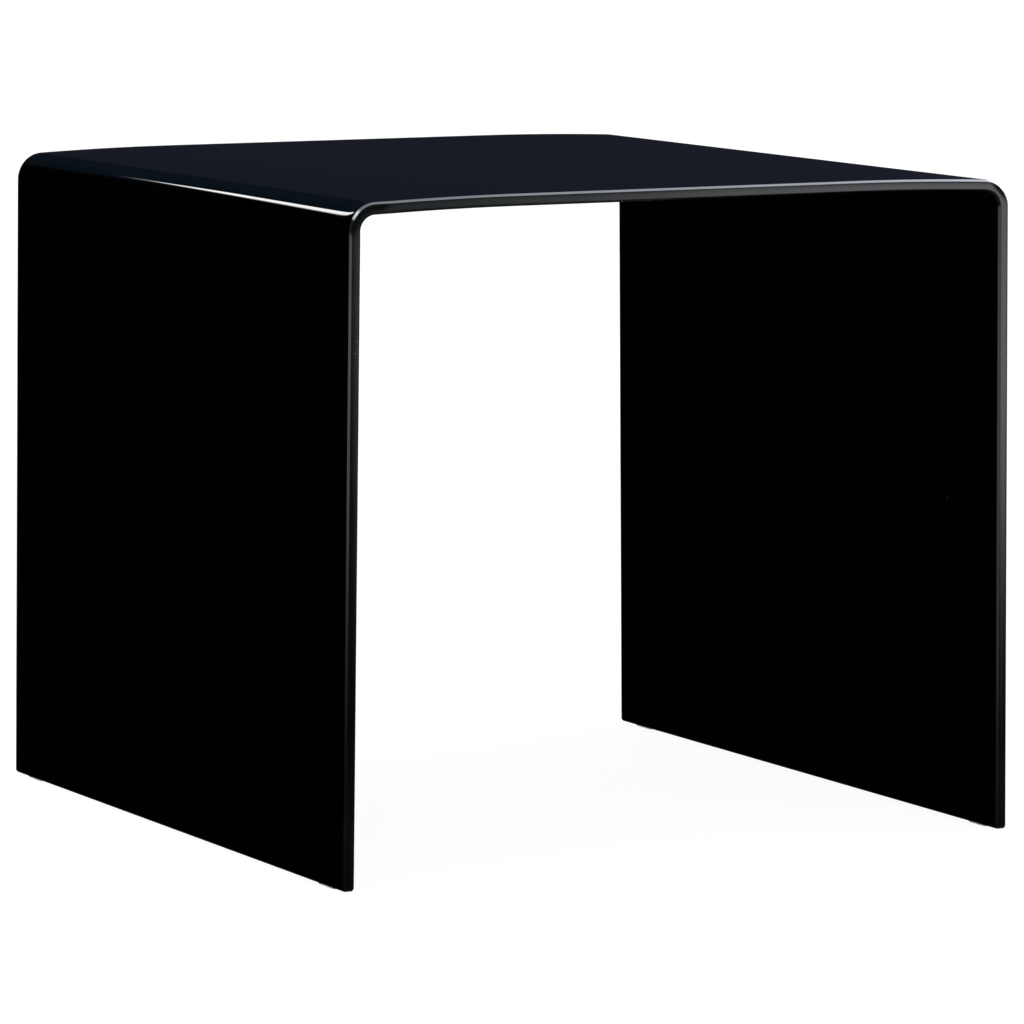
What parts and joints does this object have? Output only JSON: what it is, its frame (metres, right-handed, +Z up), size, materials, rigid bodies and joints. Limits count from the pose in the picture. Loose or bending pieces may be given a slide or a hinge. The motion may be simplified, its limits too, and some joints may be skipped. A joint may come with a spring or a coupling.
{
  "type": "bent glass side table",
  "caption": "Side table made of one sheet of black glass bent into an upside-down U: a flat top, two rounded bends and two upright sheet legs on small clear pads.",
  "frame": {"origin": "on the floor, under the middle of the top", "axes": "+X from the left leg to the right leg, +Y along the bends towards the back, +Z up"},
  "size_m": [0.5098, 0.525, 0.45],
  "materials": {
    "glass": "polished black tempered glass with ground and polished arrises",
    "coat": "gloss black enamel fired on the inner face",
    "pad": "clear soft pad"
  },
  "bodies": {
    "root": {"glass_sheet": "glass", "black_coat": "coat", "pad_front_left": "pad", "pad_front_right": "pad", "pad_back_left": "pad", "pad_back_right": "pad"}
  },
  "joints": []
}
